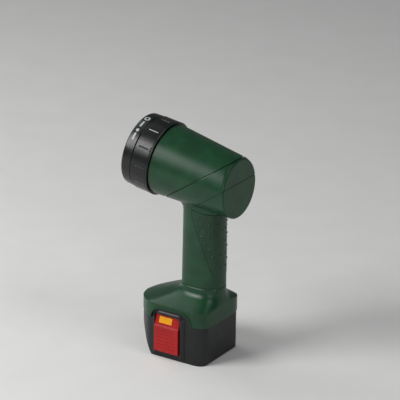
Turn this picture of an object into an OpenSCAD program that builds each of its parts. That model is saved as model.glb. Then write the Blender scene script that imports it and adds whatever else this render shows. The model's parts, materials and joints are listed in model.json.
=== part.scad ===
// Toy hand lamp shaped like a cordless drill.
// +X is the way the lamp shines, +Y the lamp's left, +Z up. The origin is the middle of the foot.

/* [Lamp head] */
// Outer radius of the turning mode ring
ring_r = 35.5; // [34.8:0.1:36.5]
// Height of the ring's rear plane on the beam axis
ring_z = 183.2; // [180:0.2:190]
// Reach of the ring's rear plane in front of the foot's middle
ring_x = 29.6; // [28:0.2:31]
// Upward tilt of the beam
head_tilt = 9; // [7:0.5:11]
// Radius of the barrel at its rear end
barrel_r = 28; // [27.4:0.1:28.4]
// Wall thickness of the green shells
wall = 2.2; // [1.8:0.1:2.4]

/* [Swivel] */
// Slope of the swivel gap, rising to the rear
seam_angle = 34; // [32:0.5:36]
// Distance of the pivot behind the ring
pivot_back = 42; // [41:0.2:44]
// Thickness of the collar between the two slanted seams
collar_h = 19.7; // [18.5:0.1:21]
// Width of the swivel gap
swivel_gap = 0.4; // [0.3:0.1:0.6]
// Outer radius of the hollow pivot bush
bush_r = 10; // [9:0.1:10.5]

/* [Handle] */
// Depth of the handle, front to rear
handle_depth = 40; // [38:0.5:42]
// Width of the handle
handle_width = 32; // [30:0.5:34]
// Distance of the handle's axis behind the foot's middle
handle_back = 10.5; // [10:0.1:11]
// Depth of the let-in grip pads
grip_t = 1; // [0.8:0.1:1.2]
// Number of dot rows on each grip pad
dot_rows = 10; // [6:1:10]

/* [Base and pack] */
// Width of the flared base
base_width = 64; // [63:0.5:66]
// Height of the base's lower edge above the foot
rim_low = 38; // [37:0.5:39]
// Height of the edge between the base's rim and its roof
rim_top = 52.6; // [52:0.2:54]
// Width of a red release button
button_w = 26; // [24:0.2:27]
// How far a release button goes in
button_travel = 2.5; // [1.5:0.1:2.5]

/* [Hidden] */
$fn = 96;

// Beam and pivot
pivot = [ring_x - pivot_back * cos(head_tilt), 0, ring_z - pivot_back * sin(head_tilt)];
mode_len = 19.1;
bezel_low = mode_len + 0.5;
bezel_end = 30.2;
barrel_front = ring_r - 1.9;
barrel_len = 80;
flange_s = -7.2;
tube_r = barrel_at(flange_s) - 5.6;
tube_in = tube_r - 1.7;
groove_in = ring_r - 2.3;
face_z = bezel_end - 7.8;
window_ring = 0.51 * tube_r;
window_r = 0.32 * tube_r;
window_seat = window_r + 0.9;
barrel_rear_x = -47;
floor_t = 2.4;
half_gap = swivel_gap / 2;
mode_slots = 12;
slot_s = 4.9;
slot_w = 1.4;
slot_len = 10.4;
pointer_w = 1;
mark_s = 25;
mark_angles = [79, 65, 52, 41];
pointer_angle = 60;

// Handle and base
handle_x = -handle_back;
base_rear_x = -32.5;
side_y = base_width / 2;
corner_x = 30;
nose_x = 52.5;
nose_drop = 4;
bow_turn = 50;
roof_top = 68;
cols = 30;
roof_h = roof_top - rim_top;
roof_steps = [0.14, 0.28, 0.42, 0.54, 0.62, 0.7, 0.79, 0.89];
roof_table = [
  [0, 1], [rim_top, 1], [rim_top + 0.54 * roof_h, 0.26], [rim_top + 0.62 * roof_h, 0.17],
  [rim_top + 0.7 * roof_h, 0.103], [rim_top + 0.79 * roof_h, 0.051], [rim_top + 0.89 * roof_h, 0.015],
  [roof_top, 0], [300, 0]
];
groove_table = [
  [0, 0], [roof_top + 1.6, 0], [roof_top + 2.1, 0.45], [roof_top + 3, 0.45], [roof_top + 3.5, 0], [300, 0]
];
fillet_r = 8.5;
fillet_z = ring_z - 41.4;
loft_top = ring_z - 21.2;
grip_line = [
  [-5.6, 146.4], [-6.4, 142], [-7.6, 137], [-10.4, 129], [-14.8, 119], [-19, 108], [-23.2, 96], [-28, 83]
];
grip_rise = 0.13;

// Pack
pack_gap = 0.4;
pack_top = rim_low - pack_gap;
button_x = 8.8;
button_low = 6.2;
button_high = 43.3;
button_step = 32.5;
face_low = side_y + 1.3;
face_high = side_y - 1.6;
arch_x = 4.8;
arch_w = 43.4;
arch_top = 48.7;
frame_r = 3.6;
frame_bend = 5.4;
frame_x = [button_x - button_w / 2 - 3.2, button_x + button_w / 2 - 0.4];
cell_r = 7.1;
cell_len = 50.5;
cell_y = 11;
cell_z = 9.7;
bay_x = [-28.2, 27];
bay_y = 18.8;
bay_top = 17.6;
cover_x = [-26.2, 25.2];
cover_t = 2;
tower_x = [-25, 4];
tower_y = 9;
tower_top = 62;

// Screws: place in X and Z
handle_bosses = [[-6, ring_z - 50.2], [-6, 92], [33.5, 46.8], [barrel_rear_x + 9, ring_z - 25.2]];
head_bosses = [
  [ring_x - 22.9, ring_z + 16.4], [ring_x - 54.6, ring_z + 10.8], [ring_x - 13.1, ring_z - 17.7]
];
screw_seat = 7;

green = "#1f4a33";
black = "#15171a";
red = "#c3142b";
yellow = "#f2a51d";
white = "#e9ebe8";
brass = "#c9a24a";
steel = "#b9bcc0";

// Places

// Z along the beam from the ring's rear plane, X down, Y to the left
module in_beam() {
  translate([ring_x, 0, ring_z]) rotate([0, 90 - head_tilt, 0]) children();
}

// Z along the pivot from the swivel gap, X down its slope
module in_swivel() {
  translate(pivot) rotate([0, seam_angle, 0]) children();
}

// Turns children to an angle round the ring, measured from the left side upwards
module at_ring_angle(a) {
  rotate([0, 0, a + 90]) children();
}

module above_seam(h) {
  in_swivel() translate([-150, -150, h]) cube([300, 300, 200]);
}

module below_seam(h) {
  in_swivel() translate([-150, -150, h - 200]) cube([300, 300, 200]);
}

module half_space(side) {
  translate([-150, side > 0 ? 0 : -150, -20]) cube([300, 150, 300]);
}

// Shallow groove round the barrel between two heights over the swivel gap
module outer_groove(h0, h1, deep) {
  difference() {
    intersection() {
      above_seam(h0);
      below_seam(h1);
    }
    barrel_body(deep);
  }
}

// A flat outline in X and Z, drawn out along Y between two values
module slab_y(y0, y1) {
  translate([0, y1, 0]) rotate([90, 0, 0]) linear_extrude(y1 - y0) children();
}

// Barrel

// The barrel is a plain cone
function barrel_at(s) = barrel_r + (barrel_front - barrel_r) * (s + barrel_len) / barrel_len;

module barrel(inset) {
  in_beam() rotate_extrude() polygon(concat(
    [[0, -96]],
    [for (s = [-96, 0]) [barrel_at(s) - inset, s]],
    [[0, 0]]
  ));
}

// Upright rear end with a rounded edge
module rear_end(inset) {
  r = barrel_r - 1.7 - inset;
  centre_z = ring_z - (ring_x - barrel_rear_x) * tan(head_tilt);
  translate([barrel_rear_x + inset, 0, centre_z]) rotate([0, 90, 0]) rotate_extrude() polygon(concat(
    [[0, 0]],
    [for (a = [0:15:75]) [r + 2.2 * sin(a), 2.2 - 2.2 * cos(a)]],
    [[r + 2.4, 2.4], [70, 70], [70, 150], [0, 150]]
  ));
}

module barrel_body(inset) {
  intersection() {
    barrel(inset);
    rear_end(inset);
  }
}

// Handle and base: rings of points round the handle's axis

function soft_min(p, x, y) = pow(pow(x, -p) + pow(y, -p), -1 / p);

// Plan of the base: straight sides, rounded rear corners and a bow in front
function base_at(a, k) =
  let (
    c = cos(a),
    s = max(abs(sin(a)), 0.000001),
    side = (side_y - k) / s,
    rear = (handle_x - base_rear_x - k) / max(-c, 0.000001),
    bow_reach = cos(bow_turn) * (corner_x - handle_x) + sin(bow_turn) * side_y - k,
    bow = bow_reach / max(cos(bow_turn) * c + sin(bow_turn) * s, 0.000001),
    nose = (nose_x - handle_x - k) / max(c, 0.000001)
  )
  c > 0 ? soft_min(24, side, soft_min(10, bow, nose)) : soft_min(5, side, rear);

// How far the edge of the roof sinks towards the nose
function nose_dip(a) = nose_drop * max(handle_x + base_at(a, 0) * cos(a) - corner_x, 0) / (nose_x - corner_x);

function handle_at(a, z, k) =
  let (
    d = handle_depth / 2 + 0.8 * (1 - (min(max(z, roof_top), fillet_z) - roof_top) / (fillet_z - roof_top)) - k,
    w = handle_width / 2 - k
  )
  pow(pow(abs(cos(a)) / d, 2.5) + pow(abs(sin(a)) / w, 2.5), -0.4);

// Fillet under the barrel: its radius fades out to the sides
function top_r(a) = fillet_r * pow(max(cos(a), 0), 2);

function under_barrel(a) =
  let (
    reach = handle_at(a, fillet_z, 0) + top_r(a),
    x = handle_x + reach * cos(a) - ring_x,
    y = reach * sin(a),
    r = barrel_at(x * cos(head_tilt) - barrel_r * sin(head_tilt))
  )
  ring_z + x * tan(head_tilt) - sqrt(max(r * r - y * y, 0)) / cos(head_tilt) + 0.3;

function skin_at(a, z, k, drop, turn = 0) =
  let (h = handle_at(a, z, k), b = base_at(a, k), t = lookup(z + drop, roof_table))
  h + max(b - h, 0) * t + top_r(a) * (1 - cos(turn)) - (drop > 0 ? 0 : lookup(z, groove_table));

// A row of the loft is [height, share of the nose dip, turn in the top fillet]
function row_z(row, a) =
  row[0] > 0 ? row[0] - row[1] * nose_dip(a) : under_barrel(a) - (top_r(a) + 1.2) * (1 - sin(row[2]));

// Left half of the handle's outer form, drawn in by k. A cutter has its roof lowered and a flat
// side past the middle, so that it opens the half it is cut from.
module handle_form(k, low, cutter) {
  drop = cutter ? k : 0;
  mid = cutter ? -1 : 0;
  stem = [0, 1.6, 2.1, 3, 3.5];
  stem_top = fillet_z - roof_top - 3.5;
  rows = concat(
    [[low, 0, 0], [rim_top - drop, 1, 0]],
    [for (p = roof_steps) [rim_top + p * roof_h - drop, lookup(rim_top + p * roof_h, roof_table), 0]],
    [for (h = stem) [roof_top + h, 0, 0]],
    [for (p = [0.25:0.25:1]) [roof_top + 3.5 + p * stem_top, 0, 0]],
    [for (turn = [18:18:90]) [0, 0, turn]],
    [[loft_top, 0, 90]]
  );
  n = len(rows);
  m = cols + 1;
  points = [
    for (row = rows) for (j = [0:cols])
      let (
        a = 180 * j / cols,
        z = row_z(row, a),
        r = skin_at(a, row[0] > 0 ? row[0] : z, k, drop, row[2])
      )
      [handle_x + r * cos(a), (j == 0 || j == cols) ? mid : r * sin(a), z]
  ];
  skin = [
    for (i = [0:n - 2]) for (j = [0:cols - 1])
      for (f = [
        [i * m + j, (i + 1) * m + j, (i + 1) * m + j + 1],
        [i * m + j, (i + 1) * m + j + 1, i * m + j + 1]
      ]) f
  ];
  middle = [
    for (i = [0:n - 2])
      for (f = [
        [i * m, i * m + cols, (i + 1) * m + cols],
        [i * m, (i + 1) * m + cols, (i + 1) * m]
      ]) f
  ];
  ends = [[for (j = [0:cols]) j], [for (j = [cols:-1:0]) (n - 1) * m + j]];
  polyhedron(points = points, faces = concat(skin, middle, ends), convexity = 6);
}

// Rounded arch standing on its flat side
function arch_points(w, low, high, r) = concat(
  [[-w / 2, low], [w / 2, low]],
  [for (a = [0:10:90]) [w / 2 - r + r * cos(a), high - r + r * sin(a)]],
  [for (a = [90:10:180]) [-w / 2 + r + r * cos(a), high - r + r * sin(a)]]
);

module arch(w, low, high, r) {
  translate([arch_x, 0]) polygon(arch_points(w, low, high, r));
}

module grip_zone(grow) {
  slab_y(-1, 60) polygon(concat(
    [[-70, grip_line[0][1] - (70 + grip_line[0][0]) * grip_rise + grow]],
    [for (p = grip_line) [p[0] + grow, p[1] + (p == grip_line[0] ? grow : 0)]],
    [[-70, grip_line[len(grip_line) - 1][1] - 1 - grow]]
  ));
}

// Front edge of the grip pad at a height
function grip_edge(z) = lookup(z, [for (i = [len(grip_line) - 1:-1:0]) [grip_line[i][1], grip_line[i][0]]]);

// Staggered rows of raised dots on the pad
dots = [
  for (i = [0:dot_rows - 1]) for (j = [0:5])
    let (z = 140.4 - 6.2 * i, a = 168 - 22 * j - 11 * (i % 2), r = skin_at(a, z, 0.6, 0))
    if (handle_x + r * cos(a) < grip_edge(z) - 2.4) [handle_x + r * cos(a), r * sin(a), z]
];

// Screws run along Y from the lamp's right to its left

module screw(length) {
  difference() {
    union() {
      cylinder(r = 2.9, h = 1.8, $fn = 48);
      cylinder(r = 1.5, h = length, $fn = 48);
    }
    for (a = [0, 90]) rotate([0, 0, a]) translate([-1.9, -0.35, -0.1]) cube([3.8, 0.7, 1]);
  }
}

module screws(places) {
  for (p = places) translate([p[0], -screw_seat - 1.8, p[1]]) rotate([-90, 0, 0]) screw(17);
}

module bosses(places, side) {
  for (p = places)
    translate([p[0], 0, p[1]]) rotate([side > 0 ? -90 : 90, 0, 0])
      cylinder(r = side > 0 ? 3.8 : 4.8, h = 40, $fn = 48);
}

module boss_holes(places, side) {
  for (p = places)
    translate([p[0], 0, p[1]]) rotate([side > 0 ? -90 : 90, 0, 0])
      if (side > 0) {
        translate([0, 0, -1]) cylinder(r = 1.55, h = 10.5, $fn = 48);
      } else {
        translate([0, 0, -1]) cylinder(r = 1.8, h = 20, $fn = 48);
        translate([0, 0, screw_seat]) cylinder(r = 3.2, h = 60, $fn = 48);
      }
}

// Lamp head

// Ring inside the shells that holds the tube's flange
module tube_seat() {
  difference() {
    translate([0, 0, flange_s - 2]) cylinder(r = ring_r, h = 4.4);
    translate([0, 0, flange_s - 3]) cylinder(r = tube_r - 1.5, h = 7);
  }
}

module head_half(side) {
  difference() {
    intersection() {
      barrel_body(0);
      above_seam(half_gap);
      half_space(side);
    }
    difference() {
      intersection() {
        barrel(wall);
        above_seam(half_gap + floor_t);
      }
      bosses(head_bosses, side);
      in_beam() tube_seat();
      in_swivel() translate([0, side * 17.5, 0]) cylinder(r = 2.4, h = 6.5, $fn = 48);
    }
    in_beam() translate([0, 0, flange_s]) cylinder(r = tube_r + 3, h = 2.4);
    in_beam() translate([0, 0, flange_s + 0.1]) cylinder(r = tube_r + 1.1, h = 9);
    in_swivel() translate([0, 0, -1]) cylinder(r = bush_r + 0.06, h = 6);
    boss_holes(head_bosses, side);
    outer_groove(half_gap - 0.1, half_gap + 0.35, 0.5);
  }
}

module head_left() {
  color(green) head_half(1);
}

module head_right() {
  color(green) head_half(-1);
}

module head_screws() {
  color(steel) screws(head_bosses);
}

// Tube that carries the light and both bands, clamped by its rear flange
module lamp_tube() {
  color(black) in_beam() difference() {
    rotate_extrude() polygon([
      [6, -7], [tube_r + 2.8, -7], [tube_r + 2.8, -5], [tube_r, -5], [tube_r, face_z], [tube_in, face_z],
      [tube_in, -5], [6, -5]
    ]);
    for (a = [60, 180, 300]) rotate([0, 0, a]) translate([16, 0, -8]) cylinder(r = 2, h = 4, $fn = 48);
  }
}

// Band with a bead at its rear edge, grip slots all round and two inner ribs that run on the tube
module mode_ring() {
  bore = tube_r + 0.06;
  color(black) in_beam() difference() {
    rotate_extrude() polygon(concat(
      [[bore, 1.6], [groove_in, 1.6], [groove_in, 0.6]],
      [for (a = [-90:15:60]) [ring_r - 0.9 + 0.9 * cos(a), 1.5 + 0.9 * sin(a)]],
      [[ring_r - 0.5, 2.6], [ring_r - 0.2, 3.1]],
      [for (a = [0:15:90]) [ring_r - 1.1 + 0.8 * cos(a), mode_len - 0.8 + 0.8 * sin(a)]],
      [
        [groove_in, mode_len], [groove_in, mode_len - 1.5], [bore, mode_len - 1.5], [bore, mode_len - 3.5],
        [groove_in, mode_len - 3.5], [groove_in, 3.6], [bore, 3.6]
      ]
    ));
    for (i = [1:mode_slots - 1])
      at_ring_angle(pointer_angle + i * 360 / mode_slots)
        translate([ring_r - 0.2, 0, slot_s]) cylinder(r = slot_w / 2, h = slot_len, $fn = 32);
    at_ring_angle(pointer_angle) translate([ring_r - 1.2, -pointer_w / 2, slot_s])
      cube([3, pointer_w, slot_len]);
  }
}

// White bar in one of the grip slots
module mode_pointer() {
  play = 0.03;
  color(white) in_beam() at_ring_angle(pointer_angle) translate([ring_r - 1.2, -pointer_w / 2 + play, slot_s + play])
    cube([1.05, pointer_w - 2 * play, slot_len - 2 * play]);
}

module mode_board() {
  color("#2d6b3d") in_beam() translate([0, 0, -5]) difference() {
    cylinder(r = tube_r + 2.3, h = 1.4);
    translate([0, 0, -1]) cylinder(r = tube_r + 0.05, h = 4);
  }
}

// Spring ring on the mode ring's inner face, with three fingers that sweep the board
module mode_contacts() {
  color(brass) in_beam() union() {
    translate([0, 0, 1.1]) difference() {
      cylinder(r = tube_r + 3.1, h = 0.5);
      translate([0, 0, -1]) cylinder(r = tube_r + 0.6, h = 3);
    }
    for (a = [0, 120, 240]) rotate([0, 0, a]) translate([tube_r + 0.8, -1.2, -3.3]) cube([1, 2.4, 4.5]);
  }
}

module bezel() {
  bore = tube_r + 0.05;
  r = ring_r - 0.8;
  color(black) in_beam() difference() {
    rotate_extrude() polygon(concat(
      [[bore, bezel_low + 1], [r - 2.5, bezel_low + 1], [r - 2.5, bezel_low]],
      [for (a = [-90:15:0]) [r - 0.7 + 0.7 * cos(a), bezel_low + 0.7 + 0.7 * sin(a)]],
      [
        [r - 0.4, bezel_end - 1.6], [r - 0.7, bezel_end - 0.9], [r - 1.3, bezel_end - 0.4],
        [r - 2.2, bezel_end - 0.1], [r - 3.2, bezel_end], [tube_r - 0.1, bezel_end], [tube_r - 0.7, bezel_end - 0.6],
        [tube_r - 0.7, bezel_end - 2.5], [tube_r + 1.9, bezel_end - 2.5], [tube_r + 1.9, face_z], [bore, face_z]
      ]
    ));
    marks(0);
  }
}

// Plain marks on the bezel: ring, bar, dot, bar
module marks(play) {
  deep = ring_r - 1.7;
  for (i = [0:3]) at_ring_angle(mark_angles[i]) translate([deep, 0, mark_s]) rotate([0, 90, 0]) {
    if (i == 0) {
      difference() {
        cylinder(r = 3 - play, h = 3, $fn = 96);
        translate([0, 0, -1]) cylinder(r = 1.3 + play, h = 5, $fn = 96);
      }
    } else if (i == 2) {
      cylinder(r = 1.7 - play, h = 3, $fn = 96);
    } else {
      translate([-1 + play, -3.6 + play, 0]) cube([2 - 2 * play, 7.2 - 2 * play, 3]);
    }
  }
}

module bezel_marks() {
  color(white) in_beam() intersection() {
    marks(0.03);
    translate([0, 0, bezel_low + 0.7])
      cylinder(r1 = ring_r - 0.86, r2 = ring_r - 1.26, h = bezel_end - bezel_low - 2.3, $fn = 360);
  }
}

// Turning disc with four windows and a finger bar
module colour_disc() {
  color(black) in_beam() difference() {
    union() {
      cylinder_part(tube_r + 0.8, face_z + 2.4, face_z + 4.9);
      cylinder_part(4.4, face_z + 4.9, face_z + 6.2);
      translate([-4, -1.2, face_z + 6]) cube([8, 2.4, 1.4]);
    }
    for (a = [0:90:270]) rotate([0, 0, a]) translate([window_ring, 0, 0]) {
      cylinder_part(window_r, face_z + 2, face_z + 6);
      cylinder_part(window_seat, face_z + 2, face_z + 3.8);
    }
    cylinder_part(3.05, face_z + 2, face_z + 4.7);
  }
}

module cylinder_part(r, z0, z1) {
  translate([0, 0, z0]) cylinder(r = r, h = z1 - z0);
}

// Coloured window: lies against the disc's shoulder, slightly domed in front
module filter(a) {
  in_beam() rotate([0, 0, a]) translate([window_ring, 0, 0]) union() {
    cylinder_part(window_seat - 0.05, face_z + 2.5, face_z + 3.8);
    translate([0, 0, face_z + 3.8]) cylinder(r1 = window_r - 0.05, r2 = window_r - 1.2, h = 0.9);
  }
}

module filter_clear() {
  color("#e6eef2") filter(180);
}

module filter_red() {
  color("#b01020") filter(0);
}

module filter_amber() {
  color("#e08a10") filter(270);
}

module filter_green() {
  color("#0f8a4a") filter(90);
}

// Bright plate with one bowl behind the top window and a pin for the disc
module reflector() {
  bowl = [for (i = [0:8]) let (t = i / 8) [5.8 + 4.4 * sqrt(t), 11.4 + (face_z + 1.2 - 11.4) * t]];
  color(steel) in_beam() union() {
    difference() {
      cylinder_part(tube_r + 1.1, face_z, face_z + 1.2);
      translate([-window_ring, 0, 0]) cylinder_part(10.3, face_z - 1, face_z + 3);
    }
    translate([-window_ring, 0, 0]) rotate_extrude() polygon(concat(
      bowl,
      [for (i = [8:-1:0]) [bowl[i][0] + 1.1, bowl[i][1]]]
    ));
    cylinder_part(3, face_z + 0.5, face_z + 4.4);
  }
}

module bulb() {
  color("#f4ead0") in_beam() translate([-window_ring, 0, 0]) rotate_extrude() polygon([
    [0, -3], [2, -3], [2, -2], [4.75, -1], [4.75, 9.6], [3.6, 10.4], [3.4, 12], [4.2, 13.4], [4.8, 15.2],
    [4.9, 16.8], [4.5, 18.6], [3.6, 20.2], [2.2, 21.3], [0, 21.8]
  ]);
}

module bulb_holder() {
  color(black) in_beam() translate([-window_ring, 0, 0]) difference() {
    cylinder_part(7, -5, 9.4);
    cylinder_part(4.8, -3, 10);
  }
}

// Spring bar on two posts, with two feet over the slip disc
module slip_wipers() {
  color(brass) in_swivel() union() {
    translate([-2.5, -19.5, 7.4]) cube([5, 39, 0.6]);
    for (s = [-1, 1]) {
      translate([-2.5, s * 17.5 - 2, 6.5]) cube([5, 4, 1]);
      translate([-1.5, s * 8.5 - 1, 6.55]) cube([3, 2, 1]);
    }
  }
}

// Swivel

// Hollow pivot: the head turns on it under its flange
module swivel_bush() {
  color(white) in_swivel() rotate_extrude() polygon([
    [8, -14], [bush_r, -14], [bush_r, half_gap + floor_t + 0.2], [14, half_gap + floor_t + 0.2],
    [14, 5.05], [8, 5.05]
  ]);
}

module bush_nut() {
  color(steel) in_swivel() translate([0, 0, -half_gap - floor_t - 3]) difference() {
    cylinder(r = 14.5, h = 3, $fn = 6);
    translate([0, 0, -1]) cylinder(r = bush_r + 0.03, h = 6);
  }
}

module slip_disc() {
  color(brass) in_swivel() translate([0, 0, 5.05]) difference() {
    cylinder(r = 13, h = 1.2);
    translate([0, 0, -1]) cylinder(r = 3, h = 4);
  }
}

// Two strips from the pack up the rear of the handle and through the bush
module contact_strips() {
  low = pivot - 22 * [sin(seam_angle), 0, cos(seam_angle)];
  high = pivot + 5.05 * [sin(seam_angle), 0, cos(seam_angle)];
  out = 0.3 / cos(seam_angle / 2);
  bend = [cos(seam_angle / 2), -sin(seam_angle / 2)] * out;
  tip = [cos(seam_angle), -sin(seam_angle)] * 0.3;
  color(brass) for (s = [-1, 1]) slab_y(s * 4.7 - 1.5, s * 4.7 + 1.5) polygon([
    [low[0] - 0.3, 63.3], [low[0] + 4, 63.3], [low[0] + 4, 63.9], [low[0] + 0.3, 63.9],
    [low[0] + bend[0], low[2] + bend[1]], [high[0] + tip[0], high[2] + tip[1]],
    [high[0] - tip[0], high[2] - tip[1]], [low[0] - bend[0], low[2] - bend[1]]
  ]);
}

module neck_collar() {
  color(green) difference() {
    intersection() {
      barrel_body(0);
      below_seam(-half_gap);
      above_seam(-collar_h);
    }
    intersection() {
      barrel_body(wall);
      below_seam(-half_gap - floor_t);
    }
    in_swivel() translate([0, 0, -10]) cylinder(r = bush_r + 0.03, h = 12);
    outer_groove(-half_gap - 0.35, -half_gap + 0.1, 0.5);
    outer_groove(-collar_h - 0.1, -collar_h + 0.4, 0.6);
  }
}

// Handle

module handle_half(side) {
  color(green) mirror([0, side > 0 ? 0 : 1, 0]) difference() {
    union() {
      handle_form(0, rim_low, false);
      intersection() {
        barrel_body(0);
        below_seam(-collar_h);
        half_space(1);
      }
      slab_y(side_y - 1, side_y + 0.3) arch(arch_w + 2.8, rim_low, arch_top + 1.4, 11.9);
      slab_y(side_y - 1, side_y + 0.7) arch(arch_w + 1.6, rim_low, arch_top + 0.8, 11.3);
    }
    intersection() {
      barrel(0);
      above_seam(-collar_h);
    }
    difference() {
      union() {
        handle_form(wall, rim_low - 1, true);
        intersection() {
          barrel_body(wall);
          below_seam(-collar_h + 1);
        }
      }
      mirror([0, side > 0 ? 0 : 1, 0]) bosses(handle_bosses, side);
    }
    difference() {
      grip_zone(0.45);
      handle_form(grip_t + 0.08, rim_low - 1, true);
    }
    slab_y(side_y - 12, 60) arch(arch_w, rim_low - 5, arch_top, 10.5);
    mirror([0, side > 0 ? 0 : 1, 0]) boss_holes(handle_bosses, side);
  }
}

module handle_left() {
  handle_half(1);
}

module handle_right() {
  handle_half(-1);
}

module handle_screws() {
  color(steel) screws(handle_bosses);
}

module grip_pad() {
  color("#1b4030") difference() {
    union() {
      intersection() {
        handle_form(-0.25, rim_low, false);
        grip_zone(0);
      }
      for (d = dots) translate(d) sphere(r = 1.5, $fn = 24);
    }
    handle_form(grip_t, rim_low - 1, true);
  }
}

module grip_pad_left() {
  grip_pad();
}

module grip_pad_right() {
  mirror([0, 1, 0]) grip_pad();
}

// Battery pack

module pack_plan(h) {
  translate([handle_x, 0, 0]) linear_extrude(h)
    polygon([for (i = [0:95]) let (a = i * 3.75) base_at(a, 0.5) * [cos(a), sin(a)]]);
}

// Rounded bar bent over a button: two legs, two bends and a top
module button_frame() {
  top = button_high + 0.4;
  intersection() {
    translate([0, side_y - 2.2, 0]) {
      for (x = frame_x) translate([x, 0, 3]) cylinder(r = frame_r, h = top - frame_bend - 3);
      translate([frame_x[0] + frame_bend, 0, top]) rotate([0, 90, 0])
        cylinder(r = frame_r, h = frame_x[1] - frame_x[0] - 2 * frame_bend);
      for (i = [0, 1]) translate([frame_x[i] + (i == 0 ? 1 : -1) * frame_bend, 0, top - frame_bend])
        rotate([90, 0, 0]) rotate([0, 0, i == 0 ? 90 : 0]) rotate_extrude(angle = 90)
          translate([frame_bend, 0]) circle(r = frame_r);
    }
    translate([-60, side_y - 5, 0]) cube([120, 20, 60]);
  }
}

module battery_case() {
  color(black) difference() {
    union() {
      intersection() {
        pack_plan(pack_top);
        slab_y(-60, 60) polygon([
          [-31, 1.5], [-29, 0], [27, 0], [52, 36], [52, pack_top], [-31, pack_top]
        ]);
      }
      for (s = [-1, 1]) mirror([0, s > 0 ? 0 : 1, 0]) {
        intersection() {
          slab_y(side_y - 6, 60) arch(arch_w - 1, 20, arch_top - 0.5, 10);
          pack_plan(60);
        }
        button_frame();
      }
      translate([tower_x[0], -tower_y, pack_top - 1])
        cube([tower_x[1] - tower_x[0], 2 * tower_y, tower_top - pack_top + 1]);
    }
    translate([bay_x[0], -bay_y, cover_t + 0.2])
      cube([bay_x[1] - bay_x[0], 2 * bay_y, bay_top - cover_t - 0.2]);
    translate([cover_x[0], -bay_y, -1]) cube([cover_x[1] - cover_x[0], 2 * bay_y, 5]);
    for (s = [-1, 1]) mirror([0, s > 0 ? 0 : 1, 0])
      translate([button_x - button_w / 2 - 0.3, side_y - 8.4, button_low - 0.3])
        cube([button_w + 0.6, 20, button_high - button_low + 0.6]);
    for (s = [-1, 1]) translate([tower_x[0] + 1.3, s * 4.7 - 2.05, 50]) cube([1.5, 4.1, 20]);
  }
}

module battery_cover() {
  play = 0.2;
  color(black) difference() {
    translate([cover_x[0] + play, -bay_y + play, 0])
      cube([cover_x[1] - cover_x[0] - 2 * play, 2 * bay_y - 2 * play, cover_t]);
    translate([-14, 0, -1]) cylinder(r = 1.7, h = 5, $fn = 48);
    translate([-14, 0, -1]) cylinder(r = 3.2, h = 2.2, $fn = 48);
  }
}

module cover_screw() {
  color(steel) translate([-14, 0, 0.1]) union() {
    cylinder(r = 2.9, h = 1.1, $fn = 48);
    cylinder(r = 1.5, h = 9, $fn = 48);
  }
}

module cells() {
  color("#8f949a") for (s = [-1, 1])
    translate([-0.6 - s * cell_len / 2, s * cell_y, cell_z]) rotate([0, s * 90, 0]) union() {
      cylinder(r = cell_r, h = cell_len - 1.2);
      cylinder(r = 2.7, h = cell_len);
    }
}

module cell_contacts() {
  color(brass) for (s = [-1, 1]) {
    translate([bay_x[0], s * cell_y - 6, 4]) cube([0.5, 12, 12]);
    translate([bay_x[1] - 0.5, s * cell_y - 6, 4]) cube([0.5, 12, 12]);
    translate([bay_x[0], s * cell_y, cell_z]) rotate([0, 90, 0]) cylinder(r = 2.4, h = 2.3);
    translate([bay_x[1] - 2, s * cell_y, cell_z]) rotate([0, 90, 0]) cylinder(r = 2.4, h = 2);
  }
}

module pack_terminals() {
  color(brass) for (s = [-1, 1])
    translate([tower_x[0] + 1.4, s * 4.7 - 2, 50]) union() {
      cube([1.3, 4, 13]);
      translate([0, 0, 12.05]) cube([5, 4, 0.95]);
    }
}

// Bowed leaf behind each button, inside the button's hollow back
module button_springs() {
  color(steel) for (s = [-1, 1]) mirror([0, s > 0 ? 0 : 1, 0])
    translate([button_x - 4, 0, 0]) rotate([90, 0, 90]) linear_extrude(8) polygon([
      [side_y - 8.4, 12.5], [side_y - 7.9, 12.5], [side_y - 4.4, 20], [side_y - 4.4, 24],
      [side_y - 7.9, 31.5], [side_y - 8.4, 31.5], [side_y - 5, 24], [side_y - 5, 20]
    ]);
}

// Red button: slanted top, step, broad lower face with shallow ribs, hollow back
module release_button() {
  color(red) difference() {
    translate([button_x - button_w / 2, 0, 0]) rotate([90, 0, 90]) linear_extrude(button_w) polygon([
      [side_y - 5.4, button_low], [side_y + 1.6, button_low], [side_y + 2.3, button_low + 0.8],
      [side_y + 2.3, button_step - 0.6], [face_low, button_step], [face_high, button_high],
      [side_y - 5.4, button_high]
    ]);
    translate([button_x - 6, side_y - 12, 11]) cube([12, 10.6, 22]);
    for (z = [10.5:3.4:28])
      translate([button_x - button_w / 2 + 3, side_y + 1.9, z]) cube([button_w - 6, 2, 0.8]);
    plate_place() translate([-7, -3.2, -0.7]) cube([14, 6.4, 4]);
  }
}

// Middle of the button's slanted face, Z out of it
module plate_place() {
  lean = atan2(face_low - face_high, button_high - button_step);
  translate([button_x + 1.7, (face_low + face_high) / 2, (button_high + button_step) / 2])
    rotate([-90 + lean, 0, 0]) children();
}

module button_plate() {
  color(yellow) plate_place() translate([-6.9, -3.1, -0.7]) cube([13.8, 6.2, 1.1]);
}

module release_button_left() {
  release_button();
}

module release_button_right() {
  mirror([0, 1, 0]) release_button();
}

module button_plate_left() {
  button_plate();
}

module button_plate_right() {
  mirror([0, 1, 0]) button_plate();
}

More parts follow.
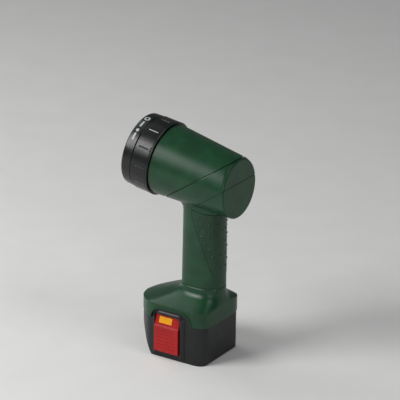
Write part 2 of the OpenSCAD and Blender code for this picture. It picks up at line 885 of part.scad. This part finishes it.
head_left();
head_right();
head_screws();
lamp_tube();
mode_ring();
mode_pointer();
mode_board();
mode_contacts();
bezel();
bezel_marks();
colour_disc();
filter_clear();
filter_red();
filter_amber();
filter_green();
reflector();
bulb();
bulb_holder();
slip_wipers();
swivel_bush();
bush_nut();
slip_disc();
contact_strips();
neck_collar();
handle_left();
handle_right();
handle_screws();
grip_pad_left();
grip_pad_right();
battery_case();
battery_cover();
cover_screw();
cells();
cell_contacts();
pack_terminals();
button_springs();
release_button_left();
release_button_right();
button_plate_left();
button_plate_right();
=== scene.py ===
# %% [markdown]
# A toy hand lamp, dressed in Blender. The solids of the lamp come in as a fixed frame, in metres. This
# lesson gives them their plastics, metals and windows, adds the small parts that only the eye needs, and
# sets up a plain studio.

# %% Load the frame
import json
import math

import bpy
from mathutils import Matrix, Vector


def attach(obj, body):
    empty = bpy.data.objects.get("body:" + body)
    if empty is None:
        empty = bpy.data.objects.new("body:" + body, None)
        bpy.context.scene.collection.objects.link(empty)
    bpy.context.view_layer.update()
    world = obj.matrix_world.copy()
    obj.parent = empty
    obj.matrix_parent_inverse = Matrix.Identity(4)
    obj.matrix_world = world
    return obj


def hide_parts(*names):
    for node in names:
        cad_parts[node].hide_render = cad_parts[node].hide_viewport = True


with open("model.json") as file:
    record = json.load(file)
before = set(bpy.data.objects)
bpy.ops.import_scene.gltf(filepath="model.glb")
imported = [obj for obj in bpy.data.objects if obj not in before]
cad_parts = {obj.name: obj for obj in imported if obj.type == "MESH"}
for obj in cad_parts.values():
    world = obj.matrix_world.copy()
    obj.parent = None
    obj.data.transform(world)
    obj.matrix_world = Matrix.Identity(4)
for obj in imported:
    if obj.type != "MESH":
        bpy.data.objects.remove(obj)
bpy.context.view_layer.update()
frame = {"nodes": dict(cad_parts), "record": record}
nodes = frame["nodes"]

# %% [markdown]
# The camera stands where the photo was taken from: behind the lamp's left side and a little above it. A long
# lens far away keeps the lines nearly parallel. A matrix from three directions sets the slight roll exactly,
# which is simpler than a Track To constraint followed by a turn.

# %% Camera
AZIMUTH, ELEVATION, ROLL = 212.45, 21.79, 0.81
AIM = Vector((-0.0034, -0.0022, 0.1496))
DISTANCE = 2.7436
LENS_MM, SENSOR_MM = 270, 36
FARTHEST = 20


def camera_axes(azimuth, elevation, roll):
    a, e, r = (math.radians(v) for v in (azimuth, elevation, roll))
    back = Vector((math.sin(a) * math.cos(e), -math.cos(a) * math.cos(e), math.sin(e)))
    level = Vector((0, 0, 1)).cross(back).normalized()
    rise = back.cross(level)
    right = level * math.cos(r) + rise * math.sin(r)
    return right, back.cross(right), back


right, up, back = camera_axes(AZIMUTH, ELEVATION, ROLL)
camera_data = bpy.data.cameras.new("photo_camera")
camera_data.lens = LENS_MM
camera_data.sensor_width = SENSOR_MM
camera_data.clip_end = FARTHEST
camera = bpy.data.objects.new("photo_camera", camera_data)
bpy.context.scene.collection.objects.link(camera)
spot = AIM + back * DISTANCE
camera.matrix_world = Matrix((
    (right.x, up.x, back.x, spot.x),
    (right.y, up.y, back.y, spot.y),
    (right.z, up.z, back.z, spot.z),
    (0, 0, 0, 1),
))
bpy.context.scene.camera = camera
bpy.context.scene.view_settings.view_transform = "Standard"
print("camera at", [round(v, 3) for v in spot])

# %% [markdown]
# Two helpers serve every finish. One turns the hex value that a paint chart would give into the linear
# colour that the renderer works with, along the standard sRGB curve. The other adds one node to a tree: a
# value on a named socket is set, an output is linked, and anything else is a setting of the node itself.

# %% Colour and node helpers
MM = 0.001
finishes = {}


def colour(hex_value):
    parts = [int(hex_value[i:i + 2], 16) / 255 for i in (1, 3, 5)]
    linear = [p / 12.92 if p <= 0.04045 else ((p + 0.055) / 1.055) ** 2.4 for p in parts]
    return (*linear, 1.0)


def add_node(tree, kind, settings):
    node = tree.nodes.new(kind)
    for name, value in settings.items():
        if isinstance(value, bpy.types.NodeSocket):
            tree.links.new(value, node.inputs[name])
        elif name in node.inputs:
            node.inputs[name].default_value = value
        else:
            setattr(node, name, value)
    return node


def new_material(name):
    material = bpy.data.materials.new(name)
    material.use_nodes = True
    tree = material.node_tree
    place = add_node(tree, "ShaderNodeTexCoord", {}).outputs["Object"]
    return material, tree, tree.nodes["Principled BSDF"], place


print("a mid grey is", [round(v, 3) for v in colour("#808080")])

# %% [markdown]
# The shells are injection-moulded ABS in one dark green, from a finely blasted mould. That gives a satin skin
# with a soft, broad gleam. The melt leaves a faint wave about 14 mm long, and handling leaves a haze. A slow
# noise shifts the colour by a hair and lifts a very low bump, and a second noise moves the roughness. A grip
# or a battery pack comes from an etched mould: its grain is really 0.2 mm, and is drawn at 0.8 mm so that it
# shows. ABS bends light by 1.53, but the fine roughness of the skin eats part of the gloss, so 1.44 comes
# closer to the object.

# %% Recipe for moulded plastic
HAZE_MM, ETCH_MM = 7, 0.8
WAVE_HEIGHT, ETCH_HEIGHT = 0.1 * MM, 0.05 * MM
WAVE_STRENGTH = 0.05
TONE_FROM, TONE_TO = 0.35, 0.65
HAZE_FROM, HAZE_TO = 0.3, 0.7
CLEANER, DULLER = 0.02, 0.03
SATIN_IOR = 1.44


def moulded_abs(name, deep, light, rough, wave_mm, grain):
    material, tree, shader, place = new_material(name)
    flow = add_node(tree, "ShaderNodeTexNoise", {
        "Vector": place, "Scale": 1 / (wave_mm * MM), "Detail": 1.0,
    })
    tone = add_node(tree, "ShaderNodeValToRGB", {"Fac": flow.outputs["Fac"]})
    dark, pale = tone.color_ramp.elements
    dark.position, pale.position = TONE_FROM, TONE_TO
    dark.color, pale.color = colour(deep), colour(light)
    tree.links.new(tone.outputs["Color"], shader.inputs["Base Color"])
    haze = add_node(tree, "ShaderNodeTexNoise", {"Vector": place, "Scale": 1 / (HAZE_MM * MM), "Detail": 2.0})
    sheen = add_node(tree, "ShaderNodeMapRange", {
        "Value": haze.outputs["Fac"], "From Min": HAZE_FROM, "From Max": HAZE_TO,
        "To Min": rough - CLEANER, "To Max": rough + DULLER,
    })
    tree.links.new(sheen.outputs["Result"], shader.inputs["Roughness"])
    wave = add_node(tree, "ShaderNodeBump", {
        "Height": flow.outputs["Fac"], "Strength": WAVE_STRENGTH, "Distance": WAVE_HEIGHT,
    })
    etch = add_node(tree, "ShaderNodeTexNoise", {"Vector": place, "Scale": 1 / (ETCH_MM * MM), "Detail": 1.0})
    skin = add_node(tree, "ShaderNodeBump", {
        "Height": etch.outputs["Fac"], "Normal": wave.outputs["Normal"],
        "Strength": grain, "Distance": ETCH_HEIGHT,
    })
    tree.links.new(skin.outputs["Normal"], shader.inputs["Normal"])
    shader.inputs["IOR"].default_value = SATIN_IOR
    return material


print("haze every", HAZE_MM, "mm, etched grain every", ETCH_MM, "mm")

# %% [markdown]
# Nine finishes come from that one recipe. Each could be a material of its own, but one recipe with a few
# numbers keeps them alike, as mouldings from one works are. Colours come from the photo's mid tones, less the
# sheen of the studio. The switch board is really laminate and the cells have a shrunk film round them. Both
# hardly show, so the recipe is close enough for them.

# %% Moulded finishes
# Each line: two tones, roughness, wave in mm, strength of the etched grain
# Shells: dark green with a soft, broad gleam
finishes["green_plastic"] = moulded_abs("green_satin_abs", "#0b371d", "#0f4024", 0.35, 14, 0.0)
# Grip pads: a shade deeper, with a fine grain
finishes["grip_plastic"] = moulded_abs("green_etched_abs", "#0b311b", "#0f3921", 0.32, 6, 0.1)
# Lamp rings: black, with the clearest highlight
finishes["black_plastic"] = moulded_abs("black_satin_abs", "#0a0c0d", "#0f1112", 0.3, 10, 0.0)
# Battery pack: duller black with a fine grain
finishes["pack_plastic"] = moulded_abs("black_etched_abs", "#0d0f11", "#131518", 0.4, 8, 0.1)
# Buttons and their plates: even, strong colours
finishes["red_plastic"] = moulded_abs("red_satin_abs", "#a00a0c", "#aa0e11", 0.34, 10, 0.0)
finishes["yellow_plastic"] = moulded_abs("yellow_satin_abs", "#e69c04", "#eea60a", 0.34, 8, 0.0)
# Marks and swivel bush: a dull off-white
finishes["white_plastic"] = moulded_abs("white_satin_abs", "#a8aeac", "#b0b6b4", 0.4, 6, 0.0)
# Switch board and cells: mottled laminate and smooth wrap
finishes["board_laminate"] = moulded_abs("green_board_laminate", "#2a6238", "#316d40", 0.45, 2, 0.1)
finishes["cell_wrap"] = moulded_abs("grey_cell_wrap", "#7c8187", "#878c92", 0.3, 5, 0.0)
print("moulded finishes:", len(finishes))

# %% [markdown]
# The metals are few: bright plated screws, brass contact strips and a metallised reflector. Metal is set by
# its colour and roughness alone, so the IOR stays as it is. Stretched noise stands for the drawing lines of
# rolled strip, which are really finer than this and are drawn coarse enough to show.

# %% Metals
LINE_STRETCH = (1, 1, 0.08)
LINE_SPREAD, SMOOTHEST = 0.06, 0.02


def rolled_metal(name, tint, rough, line_mm):
    material, tree, shader, place = new_material(name)
    stretched = add_node(tree, "ShaderNodeMapping", {"Vector": place, "Scale": LINE_STRETCH})
    lines = add_node(tree, "ShaderNodeTexNoise", {
        "Vector": stretched.outputs["Vector"], "Scale": 1 / (line_mm * MM), "Detail": 2.0,
    })
    polish = add_node(tree, "ShaderNodeMapRange", {
        "Value": lines.outputs["Fac"],
        "To Min": max(rough - LINE_SPREAD, SMOOTHEST), "To Max": rough + LINE_SPREAD,
    })
    tree.links.new(polish.outputs["Result"], shader.inputs["Roughness"])
    shader.inputs["Base Color"].default_value = colour(tint)
    shader.inputs["Metallic"].default_value = 1.0
    return material


# Each line: colour, roughness, spacing of the drawing lines in mm
# Contact strips: a warm shine, blurred along the strip
finishes["contact_brass"] = rolled_metal("rolled_brass", "#c9a452", 0.3, 1.2)
# Screws, springs and wires: cool and bright
finishes["screw_steel"] = rolled_metal("plated_steel", "#b9bcc0", 0.28, 1.0)
# Reflector: nearly a mirror
finishes["reflector_chrome"] = rolled_metal("metallised_plastic", "#dcdee0", 0.08, 2.0)
print("metals:", [finishes[k].name for k in ("contact_brass", "screw_steel", "reflector_chrome")])

# %% [markdown]
# The four windows and the bulb are clear and tinted polystyrene and thin glass. Transmission with a real IOR
# gives the right bend and the bright rim. A very low noise on the roughness keeps them from looking like
# air.

# %% Clear and tinted windows
CLOUD_MM, CLOUD_SPREAD = 4, 0.05
POLYSTYRENE_IOR, GLASS_IOR = 1.58, 1.47


def clear_moulding(name, tint, ior, rough):
    material, tree, shader, place = new_material(name)
    cloud = add_node(tree, "ShaderNodeTexNoise", {
        "Vector": place, "Scale": 1 / (CLOUD_MM * MM), "Detail": 2.0,
    })
    soft = add_node(tree, "ShaderNodeMapRange", {
        "Value": cloud.outputs["Fac"], "To Min": rough, "To Max": rough + CLOUD_SPREAD,
    })
    tree.links.new(soft.outputs["Result"], shader.inputs["Roughness"])
    shader.inputs["Base Color"].default_value = colour(tint)
    shader.inputs["Transmission Weight"].default_value = 1.0
    shader.inputs["IOR"].default_value = ior
    return material


# Each line: tint, IOR, roughness
# Windows: see-through colour with a bright rim
finishes["clear_window"] = clear_moulding("clear_polystyrene", "#f2f6f7", POLYSTYRENE_IOR, 0.04)
finishes["red_window"] = clear_moulding("red_polystyrene", "#d3202c", POLYSTYRENE_IOR, 0.05)
finishes["amber_window"] = clear_moulding("amber_polystyrene", "#f0a024", POLYSTYRENE_IOR, 0.05)
finishes["green_window"] = clear_moulding("green_polystyrene", "#2aa860", POLYSTYRENE_IOR, 0.05)
# Bulb: thin glass, seen mostly by its highlights
finishes["bulb_glass"] = clear_moulding("thin_bulb_glass", "#fbf8f0", GLASS_IOR, 0.02)
print("finishes:", sorted(finishes))

# %% [markdown]
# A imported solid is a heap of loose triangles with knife-sharp edges. Real mouldings have small radii that
# catch the light, and a hair-wide line where two halves meet. So each outer piece is copied, its doubles are
# merged and its flat areas made one face each. The sharp edges are picked in edge mode, because picking by
# corners would take their neighbours too. The copy will stand for the solid, which stays in place for motion.

# %% Copy a solid and pick its sharp edges
MERGE = 0.02 * MM
FLAT = math.radians(0.5)
slot_of = {s["node"]: s["material_slot"] for s in frame["record"]["subparts"]}
body_of = {n: b for b, members in frame["record"]["behaviour"]["bodies"].items() for n in members}


def only(piece):
    bpy.ops.object.select_all(action="DESELECT")
    piece.select_set(True)
    bpy.context.view_layer.objects.active = piece


def own_copy(node, sharp):
    piece = nodes[node].copy()
    piece.data = nodes[node].data.copy()
    piece.name = node + "_skin"
    for key in list(piece.keys()):
        del piece[key]
    piece.parent = None
    bpy.context.scene.collection.objects.link(piece)
    only(piece)
    bpy.ops.object.mode_set(mode="EDIT")
    bpy.ops.mesh.select_mode(type="EDGE")
    bpy.ops.mesh.select_all(action="SELECT")
    bpy.ops.mesh.remove_doubles(threshold=MERGE)
    bpy.ops.mesh.dissolve_limited(angle_limit=FLAT)
    bpy.ops.mesh.select_all(action="DESELECT")
    bpy.ops.mesh.edges_select_sharp(sharpness=math.radians(sharp))
    bpy.ops.object.mode_set(mode="OBJECT")
    bpy.ops.mesh.customdata_custom_splitnormals_clear()
    return piece


print("slots:", len(set(slot_of.values())), "bodies:", len(set(body_of.values())))

# %% [markdown]
# A bevel rounds the picked edges, and points that it leaves on top of each other are merged. A bevel over all
# edges would spoil the thin edges where the handle runs into the barrel, so a zone says which edges of the
# handle are rounded: those of the base, and those on the parting line up to the barrel.

# %% Round the picked edges
CLEAN = 0.001 * MM
BEVEL_STEPS = 2
BASE_TOP, HANDLE_TOP = 60 * MM, 140 * MM
PARTING_WIDTH = 0.05 * MM


def everywhere(point):
    return True


def base_and_parting_line(point):
    return point.z < BASE_TOP or (abs(point.y) < PARTING_WIDTH and point.z < HANDLE_TOP)


def round_edges(piece, edge_mm, zone, profile):
    weights = piece.data.attributes.new("bevel_weight_edge", "FLOAT", "EDGE")
    corners = piece.data.vertices
    for edge in piece.data.edges:
        middle = (corners[edge.vertices[0]].co + corners[edge.vertices[1]].co) / 2
        weights.data[edge.index].value = 1.0 if edge.select and zone(middle) else 0.0
    bevel = piece.modifiers.new("edge_radius", "BEVEL")
    bevel.width = edge_mm * MM
    bevel.segments = BEVEL_STEPS
    bevel.profile = profile
    bevel.limit_method = "WEIGHT"
    bpy.ops.object.modifier_apply(modifier="edge_radius")
    bpy.ops.object.mode_set(mode="EDIT")
    bpy.ops.mesh.select_all(action="SELECT")
    bpy.ops.mesh.remove_doubles(threshold=CLEAN)
    bpy.ops.object.mode_set(mode="OBJECT")


print("handle rounded up to", BASE_TOP, "m, its parting line up to", HANDLE_TOP, "m")

# %% [markdown]
# Now the outer mouldings are dressed, each with the edge radius in millimetres that such a moulding has.
# Weighted normals keep the flat faces flat beside the rounded edges. The rims of the grip pads are an
# exception: there the bevel is hollow, a cove, so that the joint round the pad is a dark line as on the
# object. A wider angle picks only that rim and leaves out the feet of the dots. The inner parts keep their
# solids and only get a finish.

# %% Dress the pieces
SHARP, PAD_RIM = 40, 70
ROUND, COVE = 0.5, 0.1
SMOOTH = math.radians(32)
SHELL_EDGE, HANDLE_EDGE, BAND_EDGE = 0.3, 0.35, 0.3
BUTTON_EDGE, PLATE_EDGE, MARK_EDGE, PAD_EDGE = 0.4, 0.25, 0.2, 0.8


def dress(node, edge_mm, zone=everywhere, sharp=SHARP, profile=ROUND):
    piece = own_copy(node, sharp)
    round_edges(piece, edge_mm, zone, profile)
    bpy.ops.object.shade_smooth_by_angle(angle=SMOOTH)
    flat = piece.modifiers.new("flat_faces", "WEIGHTED_NORMAL")
    flat.keep_sharp = True
    bpy.ops.object.modifier_apply(modifier="flat_faces")
    piece.data.materials.clear()
    piece.data.materials.append(finishes[slot_of[node]])
    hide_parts(node)
    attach(piece, body_of[node])
    return piece


dressed = [dress(node, SHELL_EDGE) for node in ("head_left", "head_right", "neck_collar")]
for node in ("handle_left", "handle_right"):
    dressed.append(dress(node, HANDLE_EDGE, base_and_parting_line))
for node in ("grip_pad_left", "grip_pad_right"):
    dressed.append(dress(node, PAD_EDGE, sharp=PAD_RIM, profile=COVE))
dressed += [dress(node, MARK_EDGE) for node in ("mode_pointer", "bezel_marks")]
for node in ("mode_ring", "bezel", "battery_case", "battery_cover", "colour_disc"):
    dressed.append(dress(node, BAND_EDGE))
for side in ("left", "right"):
    dressed.append(dress("release_button_" + side, BUTTON_EDGE))
    dressed.append(dress("button_plate_" + side, PLATE_EDGE))
for node, obj in nodes.items():
    obj.data.materials.clear()
    obj.data.materials.append(finishes[slot_of[node]])
print("dressed:", len(dressed), "faces:", sum(len(p.data.polygons) for p in dressed))

# %% [markdown]
# The head turns on the collar across a narrow slanted gap. On such a joint a low land carries the head and
# keeps light and dust out, so that the gap is a dark line from every side. Here the land is an oval ring on
# the collar's slanted face, a hair lower than the gap. Its size could be typed in, but it is measured on the
# collar, in a frame that stands on the pivot with its Z along the joint's axis, so it always fits.

# %% Measure the swivel gap
SAME_HEIGHT = 0.01 * MM
swivel = next(j for j in frame["record"]["behaviour"]["joints"] if j["name"] == "head_swivel")
pivot, axis = Vector(swivel["pos_m"]), Vector(swivel["axis"])
lean = math.atan2(axis.x, axis.z)
gap_frame = Matrix.Translation(pivot) @ Matrix.Rotation(lean, 4, "Y")
collar = nodes["neck_collar"]
points = [gap_frame.inverted() @ collar.matrix_world @ v.co for v in collar.data.vertices]
collar_top = max(q.z for q in points)
outline = [q for q in points if q.z > collar_top - SAME_HEIGHT]
rear, front = min(q.x for q in outline), max(q.x for q in outline)
half_width = max(q.y for q in outline)
print("oval from", round(rear, 4), "to", round(front, 4), "half width", round(half_width, 4))

# %% [markdown]
# The land could be cut from the collar, but it is quicker to draw an oval of edges, draw it in to the pivot's
# hole and thicken the sheet. It sits a hair deep in the collar and stays with the handle while the head
# turns. It clears the head by 0.03 mm, so that the two never cut into each other.

# %% Land in the swivel gap
LAND_INSET, LAND_HOLE, LAND_EDGE = 1.6 * MM, 11 * MM, 0.1 * MM
SEAT, CLEARANCE = 0.01 * MM, 0.03 * MM
OVAL_POINTS = 96
length, width = (front - rear) / 2 - LAND_INSET, half_width - LAND_INSET
shift = (front + rear) / 2
land_low, land_high = collar_top - SEAT, -collar_top - CLEARANCE

bpy.ops.object.select_all(action="DESELECT")
bpy.ops.mesh.primitive_circle_add(vertices=OVAL_POINTS, radius=width)
land = bpy.context.object
land.name = "swivel_land"
land.scale = (length / width, 1, 1)
bpy.ops.object.transform_apply(scale=True)
bpy.ops.object.mode_set(mode="EDIT")
bpy.ops.mesh.select_all(action="SELECT")
bpy.ops.mesh.extrude_region_move(TRANSFORM_OT_translate={"value": (0, 0, 0)})
bpy.ops.transform.resize(value=(LAND_HOLE / length, LAND_HOLE / width, 1), center_override=(0, 0, 0))
bpy.ops.transform.translate(value=(-shift, 0, 0))
bpy.ops.object.mode_set(mode="OBJECT")
sheet = land.modifiers.new("thickness", "SOLIDIFY")
sheet.thickness, sheet.offset = land_high - land_low, 0
bpy.ops.object.modifier_apply(modifier="thickness")
edge = land.modifiers.new("edge_radius", "BEVEL")
edge.width, edge.segments = LAND_EDGE, BEVEL_STEPS
bpy.ops.object.modifier_apply(modifier="edge_radius")
land.rotation_euler = (0, lean, 0)
land.location = gap_frame @ Vector((shift, 0, (land_low + land_high) / 2))
bpy.ops.object.transform_apply(location=True, rotation=True)
bpy.ops.object.shade_smooth_by_angle(angle=SMOOTH)
land.data.materials.append(finishes["green_plastic"])
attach(land, body_of["neck_collar"])
print("land:", [round(v / MM, 2) for v in (length, width, shift, land_low, land_high)], "mm")

# %% [markdown]
# Behind the clear window sits a torch bulb. Its glass shows three small things: a glass bead, two lead wires
# that spread out of it, and a coiled filament between their tips. All are modelled upright and then laid
# along the lamp's beam. A wire could be drawn as a curve, but plain mesh work keeps it solid: it is a disc
# that is extruded along its way.

# %% Lead wires of the bulb
BEAM_FOOT = Vector((29.6, 0, 183.2)) * MM
BEAM_TILT = math.radians(9)
BULB_RISE = 14 * MM
WIRE_RADIUS, WIRE_SIDE, WIRE_FOOT = 0.2 * MM, 0.7 * MM, 11.6 * MM
WIRE_STEPS_MM = ((0.1, 1.4), (0.5, 1.6), (0.5, 1.4), (0.1, 0.9))
WIRE_POINTS = 12
SMALL_SMOOTH = math.radians(40)
upward = Vector((-math.sin(BEAM_TILT), 0, math.cos(BEAM_TILT)))


def lay_along_beam(piece, name, finish, node):
    piece.name = name
    piece.rotation_euler = (0, math.pi / 2 - BEAM_TILT, 0)
    piece.location = BEAM_FOOT + upward * BULB_RISE
    only(piece)
    bpy.ops.object.transform_apply(location=True, rotation=True, scale=True)
    bpy.ops.object.shade_smooth_by_angle(angle=SMALL_SMOOTH)
    piece.data.materials.append(finishes[finish])
    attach(piece, body_of[node])
    return piece


def lead_wire(name, side):
    bpy.ops.object.select_all(action="DESELECT")
    bpy.ops.mesh.primitive_circle_add(
        vertices=WIRE_POINTS, radius=WIRE_RADIUS, fill_type="NGON",
        location=(0, side * WIRE_SIDE, WIRE_FOOT))
    bpy.ops.object.transform_apply(location=True)
    bpy.ops.object.mode_set(mode="EDIT")
    for out, rise in WIRE_STEPS_MM:
        bpy.ops.mesh.extrude_region_move(
            TRANSFORM_OT_translate={"value": (0, side * out * MM, rise * MM), "orient_type": "GLOBAL"})
    bpy.ops.mesh.select_all(action="SELECT")
    bpy.ops.mesh.normals_make_consistent(inside=False)
    bpy.ops.object.mode_set(mode="OBJECT")
    return lay_along_beam(bpy.context.object, name, "screw_steel", "bulb")


wires = [lead_wire("bulb_lead_left", 1), lead_wire("bulb_lead_right", -1)]
print("lead wires:", [len(w.data.polygons) for w in wires])

# %% [markdown]
# The bead holds the two wires apart inside the bulb. It is a drop of glass that was pressed flat, so a short
# cylinder with widely rounded edges is close to it, and quicker than a squashed ball.

# %% Glass bead
BEAD_RADIUS, BEAD_DEPTH, BEAD_HEIGHT, BEAD_EDGE = 1.5 * MM, 1.4 * MM, 12.2 * MM, 0.5 * MM
BEAD_POINTS, BEAD_STEPS = 24, 4
bpy.ops.object.select_all(action="DESELECT")
bpy.ops.mesh.primitive_cylinder_add(
    vertices=BEAD_POINTS, radius=BEAD_RADIUS, depth=BEAD_DEPTH, location=(0, 0, BEAD_HEIGHT))
bead = bpy.context.object
bpy.ops.object.transform_apply(location=True)
bpy.ops.object.mode_set(mode="EDIT")
bpy.ops.mesh.select_all(action="SELECT")
bpy.ops.mesh.bevel(offset=BEAD_EDGE, segments=BEAD_STEPS)
bpy.ops.object.mode_set(mode="OBJECT")
lay_along_beam(bead, "bulb_bead", "bulb_glass", "bulb")
print("bead spans", [round(v / MM, 2) for v in bead.dimensions], "mm")

# %% [markdown]
# The filament is a fine wire wound into a coil. A small ring of edges is stood upright beside the axis, and
# the Screw modifier winds it up in ten turns. It is then laid across from wire to wire, and its two open ends
# are closed. A real filament is finer, and this one is as coarse as it needs to be to show.

# %% Filament
COIL_WIRE, COIL_RADIUS, COIL_PITCH = 0.09 * MM, 0.4 * MM, 0.38 * MM
COIL_TURNS, COIL_STEPS, WIRE_SIDES = 10, 14, 8
COIL_PLACE = Vector((0, 1.9, 16.7)) * MM
bpy.ops.object.select_all(action="DESELECT")
bpy.ops.mesh.primitive_circle_add(vertices=WIRE_SIDES, radius=COIL_WIRE, location=(COIL_RADIUS, 0, 0))
coil = bpy.context.object
bpy.ops.object.transform_apply(location=True)
bpy.ops.object.mode_set(mode="EDIT")
bpy.ops.mesh.select_all(action="SELECT")
bpy.ops.transform.rotate(
    value=math.pi / 2, orient_axis="X", orient_type="GLOBAL", center_override=(COIL_RADIUS, 0, 0))
bpy.ops.object.mode_set(mode="OBJECT")
sweep = coil.modifiers.new("sweep", "SCREW")
sweep.axis, sweep.steps, sweep.render_steps = "Z", COIL_STEPS, COIL_STEPS
sweep.iterations, sweep.screw_offset = COIL_TURNS, COIL_PITCH
only(coil)
bpy.ops.object.modifier_apply(modifier="sweep")
coil.rotation_euler = (math.pi / 2, 0, 0)
coil.location = COIL_PLACE
bpy.ops.object.transform_apply(location=True, rotation=True)
bpy.ops.object.mode_set(mode="EDIT")
bpy.ops.mesh.select_all(action="SELECT")
bpy.ops.mesh.fill_holes(sides=WIRE_SIDES)
bpy.ops.mesh.select_all(action="SELECT")
bpy.ops.mesh.normals_make_consistent(inside=False)
bpy.ops.object.mode_set(mode="OBJECT")
lay_along_beam(coil, "bulb_filament", "screw_steel", "bulb")
print("filament spans", [round(v / MM, 2) for v in coil.dimensions], "mm")

# %% [markdown]
# The lamp stands on a sheet of pale paper. A backdrop could rise behind it, but a wide flat sheet serves all
# views. The lamp stands on its pack, so the paper follows the pack: when the pack is pulled it stays on the
# paper, and the lamp is lifted off.

# %% Floor
FLOOR_SIZE, FIBRE_MM, PAPER_ROUGH = 8, 40, 0.9
bpy.ops.object.select_all(action="DESELECT")
bpy.ops.mesh.primitive_plane_add(size=FLOOR_SIZE, location=(0, 0, 0))
floor = bpy.context.object
floor.name = "studio_floor"
# Paper: matt and pale, with faint clouds of fibre
paper, tree, shader, place = new_material("pale_paper")
fibre = add_node(tree, "ShaderNodeTexNoise", {"Vector": place, "Scale": 1 / (FIBRE_MM * MM), "Detail": 3.0})
grey = add_node(tree, "ShaderNodeValToRGB", {"Fac": fibre.outputs["Fac"]})
shade, pale = grey.color_ramp.elements
shade.color, pale.color = colour("#e2e2e0"), colour("#eaeae8")
tree.links.new(grey.outputs["Color"], shader.inputs["Base Color"])
shader.inputs["Roughness"].default_value = PAPER_ROUGH
floor.data.materials.append(paper)
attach(floor, "pack")
print("floor:", FLOOR_SIZE, "m square")

# %% [markdown]
# The light is a large soft key from the lamp's front left, a low fill from its rear left, a softbox above the
# front, a small one above the rear, and an even, dim world. The key stands where its reflection falls on the
# black ring and along the barrel at the place that the photo shows, and the front one draws the gleam on the
# base. The levels are set so that a colour renders about as written.

# %% Light
LIT_POINT = Vector((0, 0, 0.12))
WORLD_STRENGTH = 0.18


def softbox(name, place, size, watts):
    data = bpy.data.lights.new(name, "AREA")
    data.shape = "RECTANGLE"
    data.size, data.size_y = size
    data.energy = watts
    lamp = bpy.data.objects.new(name, data)
    bpy.context.scene.collection.objects.link(lamp)
    lamp.location = place
    lamp.rotation_euler = (LIT_POINT - Vector(place)).to_track_quat("-Z", "Y").to_euler()


softbox("key_softbox", (0.75, 0.95, 1.0), (0.75, 0.75), 16.5)
softbox("fill_softbox", (-1.2, 1.3, 0.5), (1.0, 0.8), 5)
softbox("top_softbox", (0.95, -0.2, 1.2), (0.8, 0.8), 4)
softbox("rear_softbox", (-0.9, 0.1, 1.25), (0.5, 0.5), 3)
world = bpy.data.worlds.new("even_studio")
bpy.context.scene.world = world
world.use_nodes = True
background = world.node_tree.nodes["Background"]
background.inputs["Color"].default_value = colour("#e6e8ea")
background.inputs["Strength"].default_value = WORLD_STRENGTH
